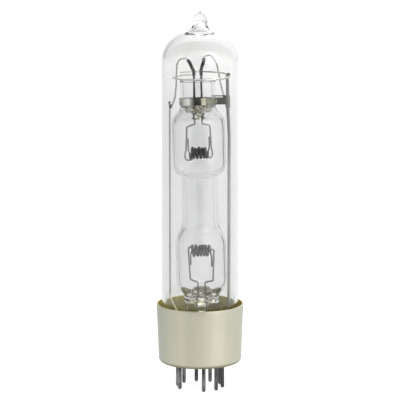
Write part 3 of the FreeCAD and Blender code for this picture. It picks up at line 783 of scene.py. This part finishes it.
ring_low, ring_high = (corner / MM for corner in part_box("spacer_ring"))
ring_middle = (ring_low + ring_high) / 2
ring_rise = RING_PITCH * RING_TURNS
helix = []
for step in range(RING_STEPS + 1):
    share = step / RING_STEPS
    angle = RING_START + 2 * math.pi * RING_TURNS * share
    across = ring_middle.x + RING_RADIUS * math.cos(angle)
    height = ring_middle.z + ring_rise * (share - 0.5)
    helix.append(Vector((across, RING_RADIUS * math.sin(angle), height)))
ring = wire("spacer_ring_wire", [(helix, RING_WIRE)])
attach(ring, "root")
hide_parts("spacer_ring")
print("ring's middle in mm:", [round(value, 2) for value in ring_middle])

# %% [markdown]
# ## Weld beads
# Thin wires are joined with tiny welds, each a lump of metal that melted and froze.
# A ball is stretched to the size of the joint and roughened with noise, then sunk over both
# wires. Without these beads the wires only seem to lie next to each other. The right jumper's
# end is also laid along the band's tab, a thin dark line above it. For each bead the table
# holds its middle, its half widths in millimetres and the seed of its noise.

# %% Weld beads
BEAD_SWELL = 0.28
BEADS = {
    "weld_left_support": (mm(-7.7, -0.02, 67.5), (0.36, 0.34, 0.62), 1),
    "weld_left_support_tail": (mm(-7.93, 0, 68.5), (0.3, 0.28, 0.34), 2),
    "weld_ring_to_rod": (mm(7.3, -0.05, 75.8), (0.5, 0.42, 0.36), 3),
    "weld_right_jumper": (mm(6.28, 0, 70.1), (0.42, 0.34, 0.34), 4),
    "weld_left_pin": (mm(-5.55, 2.1, 5.6), (0.45, 0.45, 0.4), 5),
    "weld_right_pin": (mm(5.87, -0.9, 5.6), (0.6, 0.6, 0.42), 6),
}
JUMPER_TAIL = ((3.5, 0.0, 70.18), (4.6, 0.02, 70.2), (5.6, 0.0, 70.2), (6.3, 0.0, 70.25))
JUMPER_WIRE = 0.16


def bead(name, centre, radii, seed):
    work = bmesh.new()
    bmesh.ops.create_icosphere(work, subdivisions=4, radius=1)
    for vertex in work.verts:
        swell = 1 + BEAD_SWELL * noise.noise(vertex.co * 1.7 + Vector((seed * 7.3, 0, 0)))
        vertex.co = Vector(vertex.co[axis] * radii[axis] * swell * MM for axis in range(3)) + centre
    mesh = bpy.data.meshes.new(name)
    work.to_mesh(mesh)
    work.free()
    smooth(mesh, 80)
    return new_piece(name, mesh)


beads = [bead(name, *values) for name, values in BEADS.items()]
beads.append(wire("jumper_tail", [(eased([Vector(place) for place in JUMPER_TAIL]), JUMPER_WIRE)]))
for piece in beads:
    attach(piece, "root")
print("weld beads:", len(beads))

# %% [markdown]
# ## Building finishes from nodes
# Every finish starts from one Principled shader. A few small helpers add what real surfaces
# have: patches and drawn streaks from noise, a colour ramp that maps them to tones, and a bump
# that gives them depth. Noise is read in object coordinates, which are metres, so a scale
# of 1000 makes patches of about a millimetre.

# %% Helpers for finishes
def new_finish(name):
    """A new material, its nodes, and its Principled shader."""
    material = bpy.data.materials.new(name)
    material.use_nodes = True
    tree = material.node_tree
    return material, tree, tree.nodes["Principled BSDF"]


def noise_field(tree, scale, stretch=(1, 1, 1), detail=4.0):
    """Noise in object space. A stretch below one draws it out along that axis."""
    place = tree.nodes.new("ShaderNodeTexCoord")
    mapping = tree.nodes.new("ShaderNodeMapping")
    mapping.inputs["Scale"].default_value = stretch
    field = tree.nodes.new("ShaderNodeTexNoise")
    field.inputs["Scale"].default_value = scale
    field.inputs["Detail"].default_value = detail
    tree.links.new(place.outputs["Object"], mapping.inputs["Vector"])
    tree.links.new(mapping.outputs["Vector"], field.inputs["Vector"])
    return field.outputs["Fac"]


def toned(tree, source, *stops):
    """Map a value to colours. Each stop is (place, (red, green, blue))."""
    ramp = tree.nodes.new("ShaderNodeValToRGB")
    elements = ramp.color_ramp.elements
    while len(elements) < len(stops):
        elements.new(0.5)
    for element, (place, colour) in zip(elements, stops):
        element.position = place
        element.color = (*colour, 1)
    tree.links.new(source, ramp.inputs["Fac"])
    return ramp.outputs["Color"]


def compute(tree, operation, *values):
    """A Math node on sockets or plain numbers."""
    node = tree.nodes.new("ShaderNodeMath")
    node.operation = operation
    for socket, value in zip(node.inputs, values):
        if isinstance(value, bpy.types.NodeSocket):
            tree.links.new(value, socket)
        else:
            socket.default_value = value
    return node.outputs[0]


def faded(tree, source, start, finish, low, high):
    """From low to high while the source goes from start to finish."""
    remap = tree.nodes.new("ShaderNodeMapRange")
    for name, value in zip(("From Min", "From Max", "To Min", "To Max"), (start, finish, low, high)):
        remap.inputs[name].default_value = value
    tree.links.new(source, remap.inputs["Value"])
    return remap.outputs["Result"]


def axes(tree, output):
    """The X, Y and Z of a texture coordinate."""
    place = tree.nodes.new("ShaderNodeTexCoord")
    split = tree.nodes.new("ShaderNodeSeparateXYZ")
    tree.links.new(place.outputs[output], split.inputs[0])
    return split.outputs


def add_bump(tree, shader, height, strength, depth):
    """Let the shader see a height as a bump of the given depth in millimetres."""
    bump = tree.nodes.new("ShaderNodeBump")
    bump.inputs["Strength"].default_value = strength
    bump.inputs["Distance"].default_value = depth * MM
    tree.links.new(height, bump.inputs["Height"])
    tree.links.new(bump.outputs["Normal"], shader.inputs["Normal"])


# %% [markdown]
# ## Glass
# Clear glass is a Principled shader with full transmission and an index near 1.5.
# Real lamp glass isn't quite colourless, and its drawn tube has faint streaks along it.
# The base colour tints what passes through, so each wall takes a little light away. Towards
# glancing edges it turns darker: painted shade for the dark lines that bent light leaves there.

# %% Glass finishes
def blended(tree, factor, first, second):
    """A mix of two colours, each a socket or a plain colour."""
    mix = tree.nodes.new("ShaderNodeMix")
    mix.data_type = "RGBA"
    tree.links.new(factor, mix.inputs["Factor"])
    for name, colour in (("A", first), ("B", second)):
        if isinstance(colour, bpy.types.NodeSocket):
            tree.links.new(colour, mix.inputs[name])
        else:
            mix.inputs[name].default_value = (*colour, 1)
    return mix.outputs["Result"]


def glass(name, clear, streak, edge, index, thin=None):
    """Drawn glass: a clear tint, darker streaks, painted shade towards glancing edges, and a lighter tone
    where it is thin.
    """
    material, tree, shader = new_finish(name)
    shader.inputs["Transmission Weight"].default_value = 1.0
    shader.inputs["IOR"].default_value = index
    shader.inputs["Roughness"].default_value = 0.0
    body = toned(tree, noise_field(tree, 260, (1, 1, 0.06), 3), (0.35, streak), (0.65, clear))
    # Painted shade: the edge tone darkens the glass where its surface turns away from view.
    facing = tree.nodes.new("ShaderNodeLayerWeight")
    facing.inputs["Blend"].default_value = 0.18
    body = blended(tree, facing.outputs["Facing"], body, edge)
    if thin:
        levels, tone = thin
        body = blended(tree, faded(tree, axes(tree, "Object")[2], *levels, 0.0, 1.0), body, tone)
    tree.links.new(body, shader.inputs["Base Color"])
    return material


DOME_THINS = ((0.066, 0.080), (0.98, 0.98, 0.975))
# Each set of tints: clear glass, its streaks, and the painted shade at glancing edges.
BULB_TINTS = ((0.90, 0.902, 0.902), (0.885, 0.89, 0.892), (0.84, 0.84, 0.84))
BURNER_TINTS = ((1.0, 1.0, 1.0), (0.99, 0.99, 0.99), (0.82, 0.82, 0.81))
UPPER_STEM_TINTS = ((0.90, 0.89, 0.78), (0.62, 0.61, 0.46), (0.50, 0.49, 0.36))
LOWER_STEM_TINTS = ((0.94, 0.93, 0.78), (0.66, 0.64, 0.44), (0.45, 0.43, 0.28))

bulb.data.materials.append(glass("bulb_glass", *BULB_TINTS, 1.45, DOME_THINS))
burner.data.materials.append(glass("burner_glass", *BURNER_TINTS, 1.43))
burner.data.materials.append(glass("upper_stem_glass", *UPPER_STEM_TINTS, 1.53))
burner.data.materials.append(glass("lower_stem_glass", *LOWER_STEM_TINTS, 1.43))
print("glass finishes:", len(bulb.data.materials) + len(burner.data.materials))

# %% [markdown]
# ## Stem glass
# The stems were made from another, slightly yellow glass. They are part of the burner's mesh, so
# their faces are found by their height and by their distance from the burner's axis.

# %% Which faces are stem glass
TUBE_GLASS, UPPER_STEM_GLASS, LOWER_STEM_GLASS = range(3)
STEM_LEVELS = (22.0, 29.0)
STEM_RADIUS = 3.66

upright = burner_place.inverted()
for face in burner.data.polygons:
    place = upright @ face.center
    at_level = STEM_LEVELS[0] * MM < abs(place.z) < STEM_LEVELS[1] * MM
    if at_level and math.hypot(place.x, place.y) < STEM_RADIUS * MM:
        face.material_index = UPPER_STEM_GLASS if place.z > 0 else LOWER_STEM_GLASS
print("stem faces:", sum(face.material_index != TUBE_GLASS for face in burner.data.polygons))

# %% [markdown]
# ## Metals
# A metal shader reflects its surroundings in its own colour, so most of a metal's look is in
# its roughness. One function makes them all, with fine marks, soft patches and changes of tone.
# A change holds an axis, two places along it in metres, and the colour beyond the second place.

# %% A metal finish
ALONG_X, ALONG_Z = 0, 2
ROUGH_SPREAD = 0.07


def metal(name, dark, light, rough, scale, stretch, depth=0.01, metallic=1.0, changes=()):
    """Metal with fine marks and soft patches, and a tone that may change along an axis."""
    material, tree, shader = new_finish(name)
    shader.inputs["Metallic"].default_value = metallic
    marks = noise_field(tree, scale, stretch)
    patches = noise_field(tree, scale * 0.25)
    middle = compute(tree, "MULTIPLY", compute(tree, "ADD", marks, patches), 0.5)
    tone = toned(tree, middle, (0.36, dark), (0.64, light))
    for axis, start, finish, colour in changes:
        share = faded(tree, axes(tree, "Object")[axis], start, finish, 0.0, 1.0)
        tone = blended(tree, share, tone, colour)
    tree.links.new(tone, shader.inputs["Base Color"])
    dullness = faded(tree, patches, 0.3, 0.7, rough - ROUGH_SPREAD, rough + ROUGH_SPREAD)
    tree.links.new(dullness, shader.inputs["Roughness"])
    add_bump(tree, shader, marks, 0.4, depth)
    return material


# %% [markdown]
# ## Sheet metal
# Sheet from a deep drawing press has soft vertical marks, so the shell's noise is drawn out
# along Z. Changes of tone along X, fixed to the piece, are painted reflections and painted shade:
# the broad light and dark stripes that the room leaves on shell and band. A darker tone along the
# shell's foot is a painted shadow.

# %% Sheet metal
SHELL_MARKS = (1, 1, 0.04)
# Painted reflections and shade: darker and greener to the left, a little darker to the right, and a painted
# shadow along the foot.
SHELL_PAINTED_LIGHT = (
    (ALONG_X, -0.0065, -0.0112, (0.44, 0.46, 0.385)),
    (ALONG_X, 0.0060, 0.0112, (0.56, 0.57, 0.48)),
    (ALONG_Z, 0.0011, 0.0002, (0.20, 0.185, 0.09)),
)
# Painted reflections: a dark left edge, a bright stripe left of the middle, and darker tones to the right.
BAND_PAINTED_REFLECTIONS = (
    (ALONG_X, -0.0038, -0.0044, (0.42, 0.42, 0.38)),
    (ALONG_X, -0.0028, -0.0020, (0.46, 0.45, 0.40)),
    (ALONG_X, -0.0002, 0.0008, (0.28, 0.275, 0.21)),
    (ALONG_X, 0.0047, 0.0051, (0.25, 0.245, 0.19)),
)

shell_outside = metal("shell_satin", (0.58, 0.57, 0.45), (0.69, 0.66, 0.53), 0.38,
                      260, SHELL_MARKS, 0.008, changes=SHELL_PAINTED_LIGHT)
# Painted light: the inside's olive tone is lightened to lift the shade inside the cup.
shell_inside = metal("shell_inside_lacquer_and_painted_light", (0.66, 0.60, 0.21), (0.93, 0.86, 0.40), 0.45,
                     700, (1, 1, 0.4), 0.02)
band_finish = metal("clamp_band_strip", (0.78, 0.78, 0.72), (0.96, 0.95, 0.89), 0.14,
                    800, (0.3, 0.3, 1), 0.006, changes=BAND_PAINTED_REFLECTIONS)
print("sheet finishes:", shell_outside.name, shell_inside.name, band_finish.name)

# %% [markdown]
# ## Wires and pins
# Drawn wire has fine lines along it. The wires inside the lamp were heated and have a thin oxide
# skin: the leads are dark where the flame sealed them, and the rod darkens towards its top. The
# left wire's foot has a painted highlight, and the pins on the right have painted shade.

# %% Wire metal
NICKEL = ((0.36, 0.355, 0.335), (0.52, 0.515, 0.49))
DRAWN = (1, 1, 0.05)
# Painted shade: the pins on the right are darker.
PIN_SHADE = (ALONG_X, 0.0030, 0.0050, (0.10, 0.10, 0.103))
# Painted highlight: a pale yellow tone on the left wire's foot.
FOOT_PAINTED_HIGHLIGHT = (ALONG_Z, 0.0185, 0.0175, (1.0, 0.98, 0.72))
OXIDISED_TOP = (ALONG_Z, 0.064, 0.067, (0.045, 0.036, 0.036))
# The rod's tone darkens towards its top.
ROD_DARKER_TOP = (ALONG_Z, 0.052, 0.068, (0.24, 0.24, 0.22))

pin_finish = metal("pin_dark_nickel", (0.03, 0.031, 0.034), (0.34, 0.34, 0.345), 0.24,
                   1300, DRAWN, 0.012, changes=(PIN_SHADE,))
wire_finish = metal("support_wire_nickel", *NICKEL, 0.36, 1500, DRAWN)
foot_finish = metal("support_wire_painted_highlight", *NICKEL, 0.30, 1500, DRAWN, 0.01, 0.1,
                    changes=(FOOT_PAINTED_HIGHLIGHT,))
rod_finish = metal("support_rod_nickel", (0.36, 0.355, 0.335), (0.54, 0.535, 0.51), 0.36,
                   1500, DRAWN, changes=(ROD_DARKER_TOP,))
ring_finish = metal("spacer_ring_nickel", (0.50, 0.495, 0.46), (0.72, 0.715, 0.68), 0.22,
                    1500, (1, 1, 1))
lead_finish = metal("lead_wire_oxidised", (0.24, 0.24, 0.235), (0.40, 0.40, 0.39), 0.42,
                    1500, (1, 1, 0.1), changes=(OXIDISED_TOP,))
seal_wire_finish = metal("seal_wire_oxidised", (0.05, 0.055, 0.045), (0.085, 0.032, 0.038), 0.4,
                         1400, (1, 1, 0.1))
splice_finish = metal("splice_dark_wire", (0.02, 0.02, 0.02), (0.11, 0.11, 0.105), 0.5,
                      2200, (1, 1, 1), 0.02)
print("wire finishes:", pin_finish.name, wire_finish.name, rod_finish.name, lead_finish.name)

# %% [markdown]
# ## Electrode coating and cement
# The electrodes carry a grey, chalky paste, rough and with pale grains in it. The cement is a
# plain grey ceramic paste. Both are hardly metallic and scatter light in every direction.

# %% Rough finishes
def grainy(name, dark, light, scale, rough, depth, metallic=0.0):
    """A dull paste with grains of two tones, which also stand out a little."""
    material, tree, shader = new_finish(name)
    shader.inputs["Metallic"].default_value = metallic
    shader.inputs["Roughness"].default_value = rough
    grains = noise_field(tree, scale, (1, 1, 1), 8)
    tree.links.new(toned(tree, grains, (0.38, dark), (0.66, light)), shader.inputs["Base Color"])
    add_bump(tree, shader, grains, 0.6, depth)
    return material


electrode_finish = grainy("electrode_paste", (0.045, 0.046, 0.048), (0.26, 0.262, 0.265),
                          2600, 0.75, 0.05, 0.3)
cement_finish = grainy("cement_grey", (0.36, 0.35, 0.31), (0.55, 0.53, 0.47), 1500, 0.85, 0.08)
print("rough finishes:", electrode_finish.name, cement_finish.name)

# %% [markdown]
# ## The shell's two finishes
# The shell is satin outside and has an olive lacquer inside, which is made lighter as painted
# light against the shade in the cup. The lacquer goes on the faces that look towards the axis,
# above the floor's edge.

# %% Finishing the shell
FLOOR_FACES = 0.3

shell.data.materials.append(shell_outside)
shell.data.materials.append(shell_inside)
for face in shell.data.polygons:
    inward = Vector((face.center.x, face.center.y, 0)).dot(face.normal) < 0
    face.material_index = 1 if inward and face.center.z > FLOOR_FACES * MM else 0
print("lacquered faces:", sum(face.material_index for face in shell.data.polygons))

# %% [markdown]
# ## The other pieces' finishes
# The pieces made here get one finish each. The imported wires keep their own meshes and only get
# a material. Splices and weld beads share the dark, oxidised one.

# %% Finishing the other pieces
def dress(piece, material):
    """Give a piece one material in place of what it has."""
    piece.data.materials.clear()
    piece.data.materials.append(material)


dress(cement, cement_finish)
for pin in pins:
    dress(pin, pin_finish)
for electrode in electrodes:
    dress(electrode, electrode_finish)
for piece in splices + beads:
    dress(piece, splice_finish)
for piece in seal_wires:
    dress(piece, seal_wire_finish)
dress(ring, ring_finish)

WIRES = {
    wire_finish: ("left_jumper", "right_jumper", "lower_left_jumper", "lower_right_jumper"),
    rod_finish: ("right_support_rod", "rod_sleeve"),
    foot_finish: ("left_support_wire",),
    lead_finish: ("upper_left_lead", "upper_right_lead", "lower_left_lead", "lower_right_lead"),
    band_finish: ("clamp_band",),
}
for material, names in WIRES.items():
    for name in names:
        dress(nodes[name], material)
print("nodes dressed:", sum(len(names) for names in WIRES.values()))

# %% [markdown]
# ## Kinds of rays
# The lamp stands on its pins on a white sheet in a white room. Seen directly, both are plain
# white. The light on dull surfaces comes from a dimmer white, so that colours render as
# written, and what metal and glass show lies between. The Light Path node tells them apart.

# %% A value for each kind of ray
def by_ray(tree, seen, bounced, other):
    """One value for camera rays, one for glossy and transmission rays, and one for the rest."""
    path = tree.nodes.new("ShaderNodeLightPath")
    direct = path.outputs["Is Camera Ray"]
    turned_away = compute(tree, "MAXIMUM", path.outputs["Is Glossy Ray"], path.outputs["Is Transmission Ray"])
    unseen = compute(tree, "SUBTRACT", 1.0, direct)
    rest = compute(tree, "MULTIPLY", compute(tree, "SUBTRACT", unseen, turned_away), other)
    total = compute(tree, "ADD", compute(tree, "MULTIPLY", direct, seen), rest)
    return compute(tree, "ADD", total, compute(tree, "MULTIPLY", turned_away, bounced))


# %% [markdown]
# ## The floor
# The sheet is lit and glows a little, a bit less on the left. The one dark thing is the stand of
# the camera, a soft disc far in front. Polished metal and thick glass need it: it draws the
# dark middle of the clamp band and the dark lines of the stems. From the photo's side it isn't
# seen directly, but a low view from straight behind shows it as a dark band beyond the lamp.

# %% Floor
FLOOR_LEVEL = -7.1
FLOOR_HALF = 4000.0
SHEET_WHITE = 0.6
STAND_DARK = 0.03
STAND = (-10.0, -470.0)
STAND_RADIUS = 200.0
STAND_BLUR = 60.0
GLOW_SEEN = 0.78
GLOW_LEFT = 0.40
GLOW_RIGHT = 0.48
GLOW_CHANGE = (-0.05, 0.04)


def flat_square(name, half, level):
    """A square mesh round the axis, at one level."""
    work = bmesh.new()
    signs = ((-1, -1), (1, -1), (1, 1), (-1, 1))
    work.faces.new([work.verts.new(mm(x * half, y * half, level)) for x, y in signs])
    mesh = bpy.data.meshes.new(name)
    work.to_mesh(mesh)
    work.free()
    return new_piece(name, mesh)


def sheet_finish():
    """White paper that shows bright, with the stand's soft dark disc on it."""
    material, tree, shader = new_finish("floor_sheet")
    shader.inputs["Roughness"].default_value = 1.0
    shader.inputs["Specular IOR Level"].default_value = 0.0
    across, ahead, _ = axes(tree, "Object")
    aside = compute(tree, "SUBTRACT", across, STAND[0] * MM)
    beyond = compute(tree, "SUBTRACT", ahead, STAND[1] * MM)
    squares = [compute(tree, "MULTIPLY", distance, distance) for distance in (aside, beyond)]
    distance = compute(tree, "SQRT", compute(tree, "ADD", *squares))
    sheet = faded(tree, distance, STAND_RADIUS * MM, (STAND_RADIUS + STAND_BLUR) * MM, 0.0, 1.0)
    tone = toned(tree, sheet, (0, (STAND_DARK,) * 3), (1, (SHEET_WHITE,) * 3))
    tree.links.new(tone, shader.inputs["Base Color"])
    shader.inputs["Emission Color"].default_value = (1, 1, 1, 1)
    rightward = faded(tree, across, *GLOW_CHANGE, GLOW_LEFT, GLOW_RIGHT)
    glow = by_ray(tree, GLOW_SEEN, rightward, 0.0)
    tree.links.new(compute(tree, "MULTIPLY", glow, sheet), shader.inputs["Emission Strength"])
    return material


floor = flat_square("floor", FLOOR_HALF, FLOOR_LEVEL)
floor.data.materials.append(sheet_finish())
print("floor level in mm:", FLOOR_LEVEL)

# %% [markdown]
# ## The world
# The room is white, dim in front where the stand rises, and half as bright far on the left.

# %% World
SKY_ON_OBJECT = 0.62
DIM_ROOM = 0.05
LEFT_SIDE = 0.5

world = bpy.data.worlds.new("white_room")
bpy.context.scene.world = world
world.use_nodes = True
sky = world.node_tree
towards = axes(sky, "Generated")
front = faded(sky, towards[1], -0.93, -0.8, DIM_ROOM, 1.0)
leftward = faded(sky, towards[0], -0.6, 0.0, LEFT_SIDE, 1.0)
room = by_ray(sky, 1.0, compute(sky, "MULTIPLY", front, leftward), SKY_ON_OBJECT)
background = sky.nodes["Background"]
background.inputs["Color"].default_value = (1, 1, 1, 1)
sky.links.new(room, background.inputs["Strength"])
print("sky on dull surfaces:", SKY_ON_OBJECT)

# %% [markdown]
# ## Lamps
# Three large soft lamps shape the metal: a key from the right in front, which draws the bright
# band down the base shell, a weaker fill from the left, and one behind for the edges. Soft
# means large here, because a small lamp would leave hard sparks in the glass. For each lamp
# the table holds its place and width in millimetres, and its power in watts.

# %% Lamps
LAMP_AIM = mm(0, 0, 40)
LAMPS = {
    "key": ((450, -640, 420), 800, 2.9),
    "fill": ((-700, -350, 300), 500, 0.4),
    "back": ((150, 700, 500), 500, 1.2),
}
for name, (place, size, watts) in LAMPS.items():
    data = bpy.data.lights.new(name, "AREA")
    data.shape = "DISK"
    data.size = size * MM
    data.energy = watts
    lamp = bpy.data.objects.new(name, data)
    bpy.context.scene.collection.objects.link(lamp)
    lamp.location = mm(*place)
    lamp.rotation_mode = "QUATERNION"
    lamp.rotation_quaternion = (LAMP_AIM - lamp.location).to_track_quat("-Z", "Y")
print("lamps:", len(LAMPS))

# %% [markdown]
# ## Finish
# Clear glass would shade the pins and wires too hard, so only the opaque pieces cast a shadow.

# %% Finish
for piece in (bulb, burner):
    piece.visible_shadow = False
bpy.context.scene.view_settings.view_transform = "Standard"
